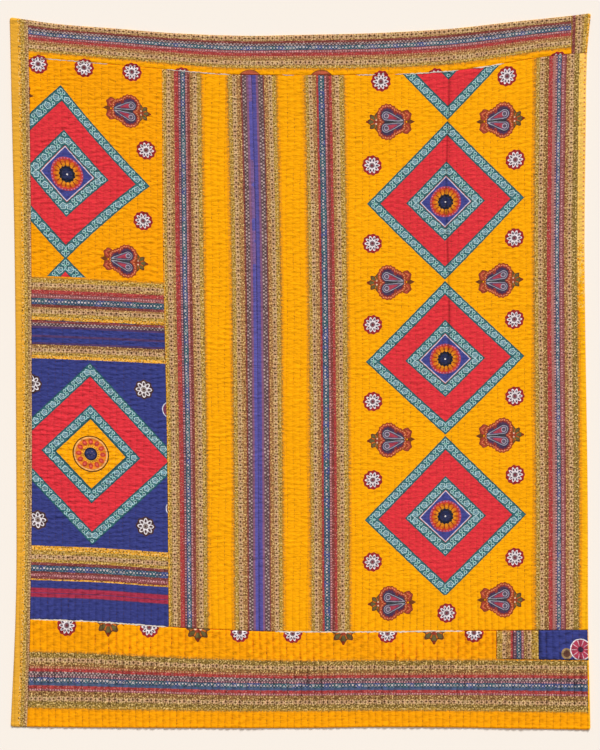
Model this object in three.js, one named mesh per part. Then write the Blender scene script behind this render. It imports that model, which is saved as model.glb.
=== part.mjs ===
// A kantha quilt: ten printed cotton cloths sewn edge to edge and quilted together with rows of
// running stitch. It lies flat on a floor, face up. Millimetres, +Z up, +Y towards the top hem.
// The origin is on the floor, at the middle of the rectangle that the hems fit in.
import * as THREE from 'three';

// Driving dimensions
const WIDTH = 1279; // of the rectangle that the hems fit in
const LENGTH = 1577;
const CLOTH = 3; // all the layers, pressed together at a row of stitches
const PUFF = 1.6; // how far the layers swell between two rows
const PUFF_CHANGE = 0.35; // the share by which the swell comes and goes along a row
const PUFF_LENGTH = 190; // along the row, from one full swell to the next
const PUFF_SHIFT = 0.38; // of that length, by which each line of the quilting is out of step with the last
const END_PUFF = 0.5; // the swell close to a hem or a seam across the rows
const HEM = 2.4; // folded cloth at an outer edge or a seam, sewn down flat
const ROW_PITCH = 15; // from one row of running stitch to the next, the rows running along Y
const ROW_WANDER = 2; // how far a hand-sewn row strays sideways
const WANDER_LENGTH = 430; // along the row, from one stray to the next
const WANDER_SPREAD = 610; // across the rows, before they stop straying together
const SEAM_GAP = 0.3; // between two neighbouring cloths
const COLUMN_MARGIN = 4; // the least room between a seam and the first line of the quilting

// Soft creases where the quilt was folded away: `x` is the line, `rise` its height, `spread` its half width
const CREASES = [
  { x: 54, rise: 1.4, spread: 9 },
  { x: 314, rise: 1.0, spread: 8 },
];

// Hems and seams, each a smooth line through a few places. `at` is the share of the way along it, from
// the left or from the bottom, and `inset` how far in from the named side of the rectangle it lies there.
const LINES = {
  topHem: { side: 'top', places: [
    { at: 0.000, inset: 9 }, { at: 0.082, inset: 24 }, { at: 0.181, inset: 34 }, { at: 0.280, inset: 44 },
    { at: 0.412, inset: 50 }, { at: 0.500, inset: 48 }, { at: 0.630, inset: 44 }, { at: 0.763, inset: 34 },
    { at: 0.861, inset: 20 }, { at: 0.971, inset: 5 }, { at: 1.000, inset: 0 },
  ] },
  bottomHem: { side: 'bottom', places: [
    { at: 0.000, inset: 7 }, { at: 0.150, inset: 5 }, { at: 0.500, inset: 4 }, { at: 0.630, inset: 6 },
    { at: 0.763, inset: 5 }, { at: 0.861, inset: 3 }, { at: 1.000, inset: 0 },
  ] },
  leftHem: { side: 'left', places: [
    { at: 0.000, inset: 2 }, { at: 0.080, inset: 8 }, { at: 0.134, inset: 12 }, { at: 0.215, inset: 15 },
    { at: 0.320, inset: 15 }, { at: 0.670, inset: 11 }, { at: 0.830, inset: 6 }, { at: 1.000, inset: 0 },
  ] },
  rightHem: { side: 'right', places: [
    { at: 0.000, inset: 1 }, { at: 0.080, inset: 4 }, { at: 0.140, inset: 6 }, { at: 0.320, inset: 7 },
    { at: 0.590, inset: 13 }, { at: 0.670, inset: 14 }, { at: 0.860, inset: 11 }, { at: 0.940, inset: 9 },
    { at: 1.000, inset: 0 },
  ] },
  bindingSeam: { side: 'left', places: [
    { at: 0.000, inset: 38 }, { at: 0.150, inset: 45 }, { at: 0.320, inset: 49 }, { at: 0.600, inset: 48 },
    { at: 0.770, inset: 46 }, { at: 1.000, inset: 40 },
  ] },
  topSeam: { side: 'top', places: [
    { at: 0.030, inset: 98 }, { at: 0.100, inset: 105 }, { at: 0.233, inset: 120 }, { at: 0.370, inset: 135 },
    { at: 0.500, inset: 137 }, { at: 0.577, inset: 137 }, { at: 0.740, inset: 130 }, { at: 0.809, inset: 120 },
    { at: 0.912, inset: 98 }, { at: 0.966, inset: 90 }, { at: 1.000, inset: 88 },
  ] },
  middleSeam: { side: 'top', places: [
    { at: 0.038, inset: 676 }, { at: 0.160, inset: 682 }, { at: 0.264, inset: 688 },
  ] },
  bottomSeam: { side: 'bottom', places: [
    { at: 0.035, inset: 244 }, { at: 0.155, inset: 238 }, { at: 0.272, inset: 227 }, { at: 0.413, inset: 218 },
    { at: 0.585, inset: 216 }, { at: 0.783, inset: 218 }, { at: 1.000, inset: 220 },
  ] },
  columnSeam: { side: 'left', places: [
    { at: 0.140, inset: 350 }, { at: 0.400, inset: 346 }, { at: 0.650, inset: 338 }, { at: 0.920, inset: 335 },
  ] },
  centreSeam: { side: 'left', places: [
    { at: 0.138, inset: 549 }, { at: 0.669, inset: 542 }, { at: 0.915, inset: 532 },
  ] },
  cornerSeam: { side: 'right', places: [{ at: 0.930, inset: 44 }, { at: 1.000, inset: 43 }] },
  patchSeam: { side: 'bottom', places: [{ at: 0.830, inset: 156 }, { at: 1.000, inset: 154 }] },
  patchLeft: { side: 'right', places: [{ at: 0.090, inset: 209 }, { at: 0.150, inset: 209 }] },
  patchSplit: { side: 'right', places: [{ at: 0.090, inset: 115 }, { at: 0.150, inset: 116 }] },
};

// The cloths, each with the steps of its grid along Y, its main colour and the lines round it. The bottom
// border is lower beyond the line that `notch` names, where two patches fill its corner up to the seam.
const CLOTHS = [
  { name: 'left_binding', rows: 20, colour: 0xd9a437,
    left: 'leftHem', right: 'bindingSeam', bottom: 'bottomHem', top: 'topHem' },
  { name: 'top_border', rows: 2, colour: 0x8a6a3c,
    left: 'bindingSeam', right: 'cornerSeam', bottom: 'topSeam', top: 'topHem' },
  { name: 'corner_patch', rows: 2, colour: 0xa88f4e,
    left: 'cornerSeam', right: 'rightHem', bottom: 'topSeam', top: 'topHem' },
  { name: 'upper_left_panel', rows: 9, colour: 0xf4a008,
    left: 'bindingSeam', right: 'columnSeam', bottom: 'middleSeam', top: 'topSeam' },
  { name: 'blue_panel', rows: 10, colour: 0x333a86,
    left: 'bindingSeam', right: 'columnSeam', bottom: 'bottomSeam', top: 'middleSeam' },
  { name: 'stripe_panel', rows: 18, colour: 0xd79420,
    left: 'columnSeam', right: 'centreSeam', bottom: 'bottomSeam', top: 'topSeam' },
  { name: 'diamond_panel', rows: 18, colour: 0xf7a404,
    left: 'centreSeam', right: 'rightHem', bottom: 'bottomSeam', top: 'topSeam' },
  { name: 'bottom_border', rows: 4, colour: 0xe99c12,
    left: 'bindingSeam', right: 'rightHem', bottom: 'bottomHem', top: 'bottomSeam',
    notch: { side: 'patchLeft', top: 'patchSeam' } },
  { name: 'band_patch', rows: 2, colour: 0x9c7a4a,
    left: 'patchLeft', right: 'patchSplit', bottom: 'patchSeam', top: 'bottomSeam' },
  { name: 'blue_patch', rows: 2, colour: 0x3a4096,
    left: 'patchSplit', right: 'rightHem', bottom: 'patchSeam', top: 'bottomSeam' },
];

// One hem or seam as a function: of y for a line along a left or right side, of x for the others.
function lineFunction({ side, places }) {
  const inset = new THREE.CubicInterpolant(places.map((p) => p.at), places.map((p) => p.inset), 1);
  const insetAt = (share) => inset.evaluate(share)[0];
  switch (side) {
    case 'left': return (y) => insetAt(y / LENGTH + 0.5) - WIDTH / 2;
    case 'right': return (y) => WIDTH / 2 - insetAt(y / LENGTH + 0.5);
    case 'bottom': return (x) => insetAt(x / WIDTH + 0.5) - LENGTH / 2;
    default: return (x) => LENGTH / 2 - insetAt(x / WIDTH + 0.5);
  }
}

const lines = Object.fromEntries(Object.entries(LINES).map(([name, line]) => [name, lineFunction(line)]));

// How far the quilting rows stray sideways at a place.
function wander(x, y) {
  return ROW_WANDER * Math.sin(2 * Math.PI * (y / WANDER_LENGTH + x / WANDER_SPREAD));
}

// The swell of the cloth on the line half way between two rows, which is fuller here and there.
function puff(step, y) {
  const turn = 2 * Math.PI * (y / PUFF_LENGTH + step * PUFF_SHIFT);
  return PUFF * (1 + PUFF_CHANGE * Math.sin(turn));
}

// The swell at a folded edge, which is less than none.
function sewnDown() {
  return HEM - CLOTH;
}

function creaseRise(x) {
  const rises = CREASES.map((crease) => crease.rise * Math.exp(-(((x - crease.x) / crease.spread) ** 2)));
  return rises.reduce((sum, rise) => sum + rise, 0);
}

// Lowest and highest value of a function over a stretch.
function rangeOf(fn, from, to, steps = 24) {
  const values = Array.from({ length: steps + 1 }, (_, i) => fn(THREE.MathUtils.lerp(from, to, i / steps)));
  return [Math.min(...values), Math.max(...values)];
}

// The columns of a cloth's grid, from left to right: its two seams, with the lines of the quilting between.
// Each has its side place and its swell as functions of y, and a place where its ends are looked up first.
function columnsOf(cloth, bottom, top) {
  const left = (y) => lines[cloth.left](y) + SEAM_GAP / 2;
  const right = (y) => lines[cloth.right](y) - SEAM_GAP / 2;
  const lowest = bottom(left(0));
  const highest = top(left(0));
  const [, innerLeft] = rangeOf(left, lowest, highest);
  const [innerRight] = rangeOf(right, lowest, highest);
  const half = ROW_PITCH / 2;
  const first = Math.ceil((innerLeft + COLUMN_MARGIN) / half);
  const last = Math.floor((innerRight - COLUMN_MARGIN) / half);
  const inner = Array.from({ length: last - first + 1 }, (_, i) => {
    const step = first + i;
    const x = step * half;
    const betweenRows = step % 2 !== 0;
    return { x, swell: (y) => (betweenRows ? puff(step, y) : 0), place: (y) => x + wander(x, y) };
  });
  if (cloth.notch) inner.push(...notchColumns(cloth.notch));
  inner.sort((a, b) => a.x - b.x);
  return [
    { x: innerLeft, swell: sewnDown, place: left },
    ...inner,
    { x: innerRight, swell: sewnDown, place: right },
  ];
}

// Two columns close together, between which the cloth's top edge steps down beside the patches.
function notchColumns({ side }) {
  const x = lines[side](0) - SEAM_GAP / 2;
  return [x - SEAM_GAP, x].map((place) => ({ x: place, swell: sewnDown, place: () => place }));
}

function topLine(cloth) {
  const top = lines[cloth.top];
  if (!cloth.notch) return (x) => top(x) - SEAM_GAP / 2;
  const lower = lines[cloth.notch.top];
  const step = lines[cloth.notch.side](0) - SEAM_GAP;
  return (x) => (x < step ? top(x) : lower(x)) - SEAM_GAP / 2;
}

// Where a column meets a line across it: each gives the other's coordinate, and they settle quickly.
function meet(column, across, rounds = 6) {
  let y = across(column.x);
  for (let i = 0; i < rounds; i += 1) y = across(column.place(y));
  return y;
}

// A cloth as a closed solid: a quilted upper face, walls all round and a flat underside on the floor.
function clothGeometry(cloth) {
  const bottom = (x) => lines[cloth.bottom](x) + SEAM_GAP / 2;
  const top = topLine(cloth);
  const columns = columnsOf(cloth, bottom, top);
  const lastColumn = columns.length - 1;
  const lastRow = cloth.rows;
  const positions = [];
  const upper = columns.map((column) => {
    const from = meet(column, bottom);
    const to = meet(column, top);
    return Array.from({ length: lastRow + 1 }, (_, row) => {
      const y = THREE.MathUtils.lerp(from, to, row / lastRow);
      const x = column.place(y);
      const atEnd = row === 0 || row === lastRow;
      const swell = atEnd ? Math.min(column.swell(y), END_PUFF) : column.swell(y);
      return positions.push(x, y, CLOTH + swell + creaseRise(x)) / 3 - 1;
    });
  });

  const index = [];
  for (let c = 0; c < lastColumn; c += 1) {
    for (let r = 0; r < lastRow; r += 1) {
      const [a, b, d, e] = [upper[c][r], upper[c + 1][r], upper[c + 1][r + 1], upper[c][r + 1]];
      index.push(a, b, d, a, d, e);
    }
  }

  // The rim, anticlockwise seen from above, and its foot on the floor
  const rim = [
    ...upper.slice(0, lastColumn).map((column) => column[0]),
    ...upper[lastColumn].slice(0, lastRow),
    ...upper.slice(1).reverse().map((column) => column[lastRow]),
    ...upper[0].slice(1).reverse(),
  ];
  const foot = new Map(rim.map((i) => [i, positions.push(positions[3 * i], positions[3 * i + 1], 0) / 3 - 1]));
  rim.forEach((a, i) => {
    const b = rim[(i + 1) % rim.length];
    index.push(foot.get(a), foot.get(b), b, foot.get(a), b, a);
  });

  // The underside, facing down: a strip between each pair of columns and a fan along each side seam
  const low = (c) => foot.get(upper[c][0]);
  const high = (c) => foot.get(upper[c][lastRow]);
  for (let c = 1; c < lastColumn - 1; c += 1) {
    index.push(low(c), high(c), low(c + 1), low(c + 1), high(c), high(c + 1));
  }
  const leftFoot = upper[0].map((i) => foot.get(i));
  const rightFoot = upper[lastColumn].map((i) => foot.get(i));
  for (let r = 0; r < lastRow; r += 1) {
    index.push(leftFoot[r], leftFoot[r + 1], low(1));
    index.push(low(lastColumn - 1), rightFoot[r + 1], rightFoot[r]);
  }
  index.push(leftFoot[lastRow], high(1), low(1));
  index.push(low(lastColumn - 1), high(lastColumn - 1), rightFoot[lastRow]);

  const geometry = new THREE.BufferGeometry();
  geometry.setAttribute('position', new THREE.Float32BufferAttribute(positions, 3));
  geometry.setIndex(index);
  geometry.computeVertexNormals();
  return geometry;
}

const quilt = new THREE.Group();
quilt.name = 'kantha_quilt';
for (const cloth of CLOTHS) {
  const material = new THREE.MeshStandardMaterial({ color: cloth.colour, roughness: 0.9, metalness: 0 });
  const mesh = new THREE.Mesh(clothGeometry(cloth), material);
  mesh.name = cloth.name;
  quilt.add(mesh);
}

export default quilt;
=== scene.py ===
"""Looks of a patchwork kantha quilt that lies flat: printed cloths, quilted relief and running stitches."""

import math
from collections import namedtuple
from functools import partialmethod

import bpy
import numpy as np
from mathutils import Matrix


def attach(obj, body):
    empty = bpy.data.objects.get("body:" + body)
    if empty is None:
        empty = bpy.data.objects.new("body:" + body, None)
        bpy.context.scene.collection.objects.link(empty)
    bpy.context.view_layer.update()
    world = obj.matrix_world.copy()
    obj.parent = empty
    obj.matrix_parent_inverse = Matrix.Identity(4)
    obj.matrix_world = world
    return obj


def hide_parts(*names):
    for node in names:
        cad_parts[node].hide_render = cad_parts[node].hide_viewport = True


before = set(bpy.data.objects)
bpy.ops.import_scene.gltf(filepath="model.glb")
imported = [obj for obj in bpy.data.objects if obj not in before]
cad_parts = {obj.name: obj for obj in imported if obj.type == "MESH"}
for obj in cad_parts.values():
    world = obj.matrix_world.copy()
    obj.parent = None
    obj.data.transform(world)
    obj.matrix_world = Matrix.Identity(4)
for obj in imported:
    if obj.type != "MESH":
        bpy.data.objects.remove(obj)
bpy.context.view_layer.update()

# Sizes in millimetres, and the metres in one of them
MM = 0.001

# Quilted relief of the layered cloth
CLOTH = 2.7  # height of the cloth along a row of stitches
LOWEST = 0.9  # the relief never goes below this
PUFF = 0.8  # how far the cloth swells between two rows
LOWER_PUFF = 1.4  # how much more it swells in the lower part, as a share
LOWER_START = -430.0  # where the lower part starts, and over what length it comes in
LOWER_FADE = 110.0
CALM_START = -735.0  # the bottom hem is calmer from here down
ROW_PITCH = 15.0  # from one row of stitches to the next
ROW_WANDER = 2.0  # how far a row strays from a straight line
WANDER_LENGTH = 430.0
WANDER_SPREAD = 610.0
STITCH_PITCH = 10.6  # from one stitch of a row to the next
STITCH_LENGTH = 5.4
RIPPLE = 0.45  # half height of the ripples that the stitches pull up
PUCKER = 0.36  # half height of the puckers that follow no row
CRINKLE = 0.7  # height of the fine crinkles, and of the thin creases between them
THIN_CREASE = 2.2
DENT = 0.9  # depth of the dent under a stitch
DENT_SPREAD = 2.4
UNEVEN = 0.3  # soft unevenness of the whole quilt
SEAM_RIM = 1.5  # height of a cloth's rim at a seam, and how far in the fold rounds over
SEAM_ROUND = 3.2
HEM_RIM = 1.0
HEM_ROUND = 5.0
HEM_STITCH = 0.4  # dip of the line of stitches that holds the hem
HEM_STITCH_AT = 9.0
HEM_STITCH_SPREAD = 2.2
HEM_FOLD = 1.0  # how much thicker the folded hem is
HEM_CORNER = 7.0  # radius of the outer corners

# Lines of the cloths' grids
FOLD_LINES = (0.5, 1.3, 2.6, 4.4)
UNDERSIDE_STRIDE = 12


def sine(value):
    """The sine of an array, or of a field in a material."""
    return value.math("SINE") if isinstance(value, Field) else np.sin(value)


def wander(x, y):
    """How far a row of stitches strays sideways."""
    return sine((y * (1 / WANDER_LENGTH) + x * (1 / WANDER_SPREAD)) * (2 * math.pi)) * ROW_WANDER


def waves(x, y, length, seed, count=8):
    """A soft uneven field, mostly between -1 and 1, with bumps about as long as asked."""
    draw = np.random.default_rng(seed)
    total = np.zeros(np.broadcast(x, y).shape)
    for _ in range(count):
        angle = draw.uniform(0, 2 * np.pi)
        size = length * draw.uniform(0.7, 1.6)
        phase = draw.uniform(0, 2 * np.pi)
        total += np.sin(2 * np.pi * (x * np.cos(angle) + y * np.sin(angle)) / size + phase)
    return total / math.sqrt(count)


def ripple_phase(x, y):
    """Counts the ripples up the quilt: they wander, and a stitch lies in each groove between two."""
    return y / STITCH_PITCH + 0.3 * waves(x, y, 75.0, 25) + 0.12 * waves(x, y, 24.0, 26)


# Old fold lines across the face: the axis that each crosses and where, its rise, its spread, its ends
Crease = namedtuple("Crease", "axis at rise spread start end")
# The fold whose valley gets painted shade, and the dirt it gathers
SHADED_FOLD = Crease("x", 324.0, -2.2, 4.0, -60.0, 720.0)
CREASES = (
    Crease("x", 54.0, 0.9, 4.5, -790.0, 790.0), SHADED_FOLD, Crease("x", 316.0, 0.9, 4.5, -790.0, 140.0),
    Crease("x", 594.0, 0.8, 4.0, -790.0, -420.0), Crease("y", 148.0, 0.7, 5.0, -620.0, 640.0),
)
FOLD_SHADE_AND_DIRT = 0.48  # how dark the painted shade and dirt along the shaded fold are
CREASE_FADE = 80.0
CREASE_STRAY = 3.0
CREASE_WANDER = 520.0


def crease_stray(along):
    """How far a fold line strays from straight."""
    return sine(along * (2 * math.pi / CREASE_WANDER)) * CREASE_STRAY


def creases(x, y):
    """The rise of the fold lines that the quilt keeps from being stored."""
    total = 0.0
    for crease in CREASES:
        across, along = (x, y) if crease.axis == "x" else (y, x)
        off = across - crease.at - crease_stray(along)
        ends = np.minimum(along - crease.start, crease.end - along)
        strength = np.clip(ends / CREASE_FADE, 0, 1) * (0.7 + 0.4 * waves(along, 0 * along, 90.0, 6))
        total = total + crease.rise * strength * np.exp(-((off / crease.spread) ** 2))
    return total


def relief(x, y, pull):
    """Height of the quilted face over the floor, away from the rims, for how hard its stitches pull."""
    place = (x - wander(x, y)) / ROW_PITCH
    share = place - np.floor(place)
    swell = np.sin(np.pi * share) ** 0.6
    phase = ripple_phase(x, y)
    patchy = np.clip(0.7 + 0.8 * waves(x, y, 60.0, 27), 0.05, 1.9)
    low = np.clip((LOWER_START - y) / LOWER_FADE, 0, 1)
    ripple = patchy * (0.45 + 0.55 * swell) * (1 - 0.85 * low) * np.cos(2 * np.pi * phase)
    near = np.minimum(share, 1 - share) * ROW_PITCH
    dent = np.exp(-((near / DENT_SPREAD) ** 2)) * (0.5 - 0.5 * np.cos(2 * np.pi * phase))
    puff = PUFF * (0.95 + 0.5 * waves(x, y, 150.0, 22)) * swell
    puff = puff * (1 + low * (LOWER_PUFF + 0.5 * waves(x * 1.6, y, 20.0, 28)))
    pull = pull * (1 - 0.45 * np.clip((CALM_START - y) / 12, 0, 1))
    pucker = PUCKER * waves(x * 0.6, y, 16.0, 24, 12)
    height = CLOTH + pull * (puff + RIPPLE * ripple + pucker) - DENT * dent + UNEVEN * waves(x, y, 260.0, 23)
    return np.maximum(height + creases(x, y), LOWEST)


# Outlines of the cloths, read from the solids
UPWARD = 0.1  # a face that looks up has a normal steeper than this
STEEP = 3.0  # a top side that falls more steeply than this is the side of a notch


def rim_of(name):
    """The rim of a solid's upper face, in millimetres, anticlockwise as seen from above."""
    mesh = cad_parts[name].data
    places = [tuple(round(c / MM, 3) for c in vertex.co) for vertex in mesh.vertices]
    edges = set()
    for face in mesh.polygons:
        if face.normal.z > UPWARD:
            loop = [places[i] for i in face.vertices]
            edges.update(zip(loop, loop[1:] + loop[:1]))
    following = {a: b for a, b in edges if (b, a) not in edges}
    start = min(following)
    rim = [start]
    while following[rim[-1]] != start:
        rim.append(following[rim[-1]])
    return np.array(rim)[:, :2]


class Cloth:
    """One cloth of the patchwork, with its four sides as functions of x or of y."""

    def __init__(self, name, pull):
        rim = rim_of(name)
        corners = [int(np.argmax(rim @ way)) for way in ((-1, -1), (1, -1), (1, 1), (-1, 1))]
        rim = np.roll(rim, -corners[0], axis=0)
        low_right, high_right, high_left = [(c - corners[0]) % len(rim) for c in corners[1:]]
        closed = np.vstack([rim, rim[:1]])
        self.name = name
        self.pull = pull
        self.bottom = closed[: low_right + 1]
        self.right = closed[low_right : high_right + 1]
        self.top = closed[high_right : high_left + 1][::-1]
        self.left = closed[high_left:][::-1]
        steep = np.abs(np.diff(self.top[:, 1])) > STEEP * np.abs(np.diff(self.top[:, 0]))
        self.steps = np.concatenate([self.top[:-1][steep, 0], self.top[1:][steep, 0]])
        self.notch = self.steps.min() if len(self.steps) else np.inf
        self.area = abs(np.cross(rim, np.roll(rim, -1, axis=0)).sum()) / 2

    def low(self, x):
        return np.interp(x, self.bottom[:, 0], self.bottom[:, 1])

    def high(self, x):
        return np.interp(x, self.top[:, 0], self.top[:, 1])

    def west(self, y):
        return np.interp(y, self.left[:, 1], self.left[:, 0])

    def east(self, y):
        return np.interp(y, self.right[:, 1], self.right[:, 0])

    def edge_distances(self, x, y, reach):
        """How far a place is from the cloth's left, right, bottom and top edges."""
        lows = []
        highs = []
        for shift in np.linspace(-reach, reach, 9):
            lows.append(np.hypot(shift, np.maximum(y - self.low(x + shift), 0)))
            highs.append(np.hypot(shift, np.maximum(self.high(x + shift) - y, 0)))
        return x - self.west(y), self.east(y) - x, np.min(lows, axis=0), np.min(highs, axis=0)

    def holds(self, x, y, margin):
        """Whether a place is on the cloth and clear of its edges."""
        clear = [distance > margin for distance in self.edge_distances(x, y, margin)]
        return np.all(clear, axis=0)


def spaced(start, end, step, also=()):
    """Lines from start to end, about a step apart, with some close to both ends for the folded rims."""
    inner = FOLD_LINES[-1] + step
    middle = np.linspace(start + inner, end - inner, max(2, round((end - start - 2 * inner) / step) + 1))
    folds = np.array(FOLD_LINES)
    return np.unique(np.concatenate([[start, end], start + folds, end - folds, middle, also]))


# How far in from a slanting edge the grid's columns follow it
FOLLOW = 60.0


def grid_of(cloth, step):
    """The places of a cloth's grid, with the shares along its width and height."""
    middle = (cloth.left[:, 1].mean() + cloth.right[:, 1].mean()) / 2
    start, end = cloth.west(middle), cloth.east(middle)
    across = spaced(start, end, step, cloth.steps)[:, None]
    height = np.mean(cloth.high(across) - cloth.low(across))
    share = spaced(0, height, step)[None, :] / height
    follow = min(FOLLOW, (end - start) / 2)
    pull_west = np.clip(1 - (across - start) / follow, 0, 1)
    pull_east = np.clip(1 - (end - across) / follow, 0, 1)
    if follow < FOLLOW:
        pull_east = (across - start) / (end - start)
        pull_west = 1 - pull_east
    x = across + 0 * share
    for _ in range(4):
        y = cloth.low(x) + share * (cloth.high(x) - cloth.low(x))
        x = across + pull_west * (cloth.west(y) - start) + pull_east * (cloth.east(y) - end)
    y = cloth.low(x) + share * (cloth.high(x) - cloth.low(x))
    return x, y


def rounded(height, distance, rim, reach):
    """A height that rounds down to a folded rim."""
    share = np.clip(distance / reach, 0, 1)
    return rim + (height - rim) * np.sqrt(1 - (1 - share) ** 2)


def corners_rounded(cloth, x, y, hems):
    """The places of a grid, with the outer corners rounded where two hems meet."""
    corners = (
        ("left", "bottom", cloth.bottom[0], 1, 1), ("right", "bottom", cloth.bottom[-1], -1, 1),
        ("left", "top", cloth.top[0], 1, -1), ("right", "top", cloth.top[-1], -1, -1),
    )
    for side, end, (corner_x, corner_y), way_x, way_y in corners:
        if side in hems and end in hems:
            u = np.clip(1 - (x - corner_x) * way_x / HEM_CORNER, 0, 1)
            v = np.clip(1 - (y - corner_y) * way_y / HEM_CORNER, 0, 1)
            x = x + way_x * HEM_CORNER * u * (1 - np.sqrt(1 - v**2 / 2))
            y = y + way_y * HEM_CORNER * v * (1 - np.sqrt(1 - u**2 / 2))
    return x, y


def underside_faces(across, along, index):
    """Large faces under a fine grid, that keep each point of its rim."""
    columns = sorted({*range(0, across - 1, UNDERSIDE_STRIDE), across - 1})
    rows = sorted({*range(0, along - 1, UNDERSIDE_STRIDE), along - 1})
    faces = []
    for i0, i1 in zip(columns, columns[1:]):
        for j0, j1 in zip(rows, rows[1:]):
            west = range(j0, j1) if i0 == 0 else (j0,)
            north = range(i0, i1) if j1 == along - 1 else (i0,)
            east = range(j1, j0, -1) if i1 == across - 1 else (j1,)
            south = range(i1, i0, -1) if j0 == 0 else (i1,)
            loop = [(i0, j) for j in west] + [(i, j1) for i in north]
            loop += [(i1, j) for j in east] + [(i, j0) for i in south]
            faces.append([index[place] for place in loop])
    return faces


def mesh_object(name, places, faces):
    """A smooth mesh from places in millimetres."""
    mesh = bpy.data.meshes.new(name)
    mesh.from_pydata((np.asarray(places) * MM).tolist(), [], faces)
    mesh.shade_smooth()
    mesh.set_sharp_from_angle(angle=math.radians(70))
    piece = bpy.data.objects.new(name, mesh)
    bpy.context.collection.objects.link(piece)
    return piece


def rim_loop(grid):
    """The values along the rim of a grid, anticlockwise."""
    return np.concatenate([grid[:-1, 0], grid[-1, :-1], grid[:0:-1, -1], grid[0, :0:-1]])


def sheet_of(cloth, step, hems, print_places):
    """The quilted sheet of one cloth: a fine face, rims folded under, and a plain underside."""
    x, y = grid_of(cloth, step)
    across, along = x.shape
    z = relief(x, y, cloth.pull)
    distances = cloth.edge_distances(x, y, HEM_ROUND)
    for side, distance in zip(("left", "right", "bottom", "top"), distances):
        if side in hems:
            z = z - HEM_STITCH * np.exp(-(((distance - HEM_STITCH_AT) / HEM_STITCH_SPREAD) ** 2))
            z = z + HEM_FOLD * np.clip(1.5 - distance / HEM_STITCH_AT, 0, 1)
            z = rounded(z, distance, HEM_RIM, HEM_ROUND)
        else:
            z = rounded(z, distance, SEAM_RIM, SEAM_ROUND)
    u, v = print_places(x, y)
    x, y = corners_rounded(cloth, x, y, hems)
    face_index = np.arange(across * along).reshape(across, along)
    faces = np.stack(
        [face_index[:-1, :-1], face_index[1:, :-1], face_index[1:, 1:], face_index[:-1, 1:]], axis=-1
    ).reshape(-1, 4).tolist()
    kept = np.zeros((across, along), bool)
    kept[[0, -1], :] = True
    kept[:, [0, -1]] = True
    kept[::UNDERSIDE_STRIDE, ::UNDERSIDE_STRIDE] = True
    below = np.full((across, along), -1)
    below[kept] = across * along + np.arange(kept.sum())
    faces += underside_faces(across, along, below)
    above_rim, below_rim = rim_loop(face_index), rim_loop(below)
    wall = [above_rim, below_rim, np.roll(below_rim, -1), np.roll(above_rim, -1)]
    faces += np.stack(wall, axis=-1).tolist()
    top = np.stack([x, y, z], axis=-1).reshape(-1, 3)
    under = np.stack([x[kept], y[kept], 0 * x[kept]], axis=-1)
    piece = mesh_object(cloth.name + "_cloth", np.vstack([top, under]), faces)
    flat = np.vstack([np.stack([u, v], axis=-1).reshape(-1, 2), np.stack([u[kept], v[kept]], axis=-1)])
    loops = np.empty(len(piece.data.loops), int)
    piece.data.loops.foreach_get("vertex_index", loops)
    piece.data.uv_layers.new(name="print").data.foreach_set("uv", flat[loops].ravel())
    return piece


# Colours as the eye reads them, in steps of 0 to 255
MARIGOLD = (250, 166, 2)
AMBER = (247, 158, 2)
GOLD = (226, 158, 52)
RED = (220, 50, 60)
BLUE = (55, 61, 126)
TEAL = (58, 108, 114)
DEEP_TEAL = (40, 84, 90)
AQUA = (158, 198, 202)
LEAF_GREEN = (92, 168, 134)
OLIVE = (178, 136, 52)
MAROON = (150, 36, 46)
CREAM = (212, 176, 130)
PALE = (208, 210, 224)
WHITE = (230, 222, 224)


def linear(colour):
    """A colour as the eye reads it, in the linear values that a shader takes."""
    shares = [c / 255 for c in colour]
    return (*(c / 12.92 if c <= 0.04045 else ((c + 0.055) / 1.055) ** 2.4 for c in shares), 1.0)


def new_material(name):
    """A material, its tree of nodes and its shader."""
    material = bpy.data.materials.new(name)
    material.use_nodes = True
    return material, material.node_tree, material.node_tree.nodes["Principled BSDF"]


def feed(node, values):
    """Gives a node's slots values, or links them to fields or to other nodes' sockets."""
    for slot, value in values.items():
        if isinstance(value, Field):
            value = value.socket
        if isinstance(value, bpy.types.NodeSocket):
            node.id_data.links.new(value, node.inputs[slot])
        else:
            node.inputs[slot].default_value = value


class Field:
    """A number that varies over a cloth, worked out by math nodes."""

    def __init__(self, socket):
        self.socket = socket

    def math(self, operation, *others):
        node = self.socket.id_data.nodes.new("ShaderNodeMath")
        node.operation = operation
        feed(node, dict(enumerate((self, *others))))
        return Field(node.outputs[0])

    __add__ = partialmethod(math, "ADD")
    __sub__ = partialmethod(math, "SUBTRACT")
    __mul__ = partialmethod(math, "MULTIPLY")
    times = partialmethod(math, "MULTIPLY_ADD")
    fold = partialmethod(math, "ABSOLUTE")
    under = partialmethod(math, "LESS_THAN")
    over = partialmethod(math, "GREATER_THAN")
    near = partialmethod(math, "COMPARE")
    least = partialmethod(math, "MINIMUM")
    most = partialmethod(math, "MAXIMUM")

    def wrap(self, period):
        return self.math("WRAP", period / 2, -period / 2)

    def held(self, low, high):
        return self.most(low).least(high)

    def wave(self, count):
        return (self * count).math("COSINE")


def length(x, y):
    """The distance of a place from the origin."""
    return y.times(y, x * x).math("SQRT")


def polar(x, y):
    """The distance of a place from the origin, and its direction in radians."""
    return length(x, y), y.math("ARCTAN2", x)


def oval(x, y, half_x, half_y):
    """A field that is under 1 inside an oval."""
    return length(x * (1 / half_x), y * (1 / half_y))


def ring_of_ovals(reach, turn, count, radius, half_across, half_along):
    """A field that is under 1 inside ovals that stand in a ring, such as petals."""
    return oval(turn.wrap(2 * math.pi / count) * reach, reach - radius, half_across, half_along)


def nested(cloth, field, *layers):
    """Paints shapes one inside the other: where a field is under each limit, and in which colour."""
    for limit, colour in layers:
        cloth.paint(field.under(limit), colour)


def from_nearest(x, places):
    """How far along x a place is from the nearest of some places, which are in rising order."""
    off = x - places[0]
    for before, after in zip(places, places[1:]):
        off = off - x.over((before + after) / 2) * (after - before)
    return off
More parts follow.
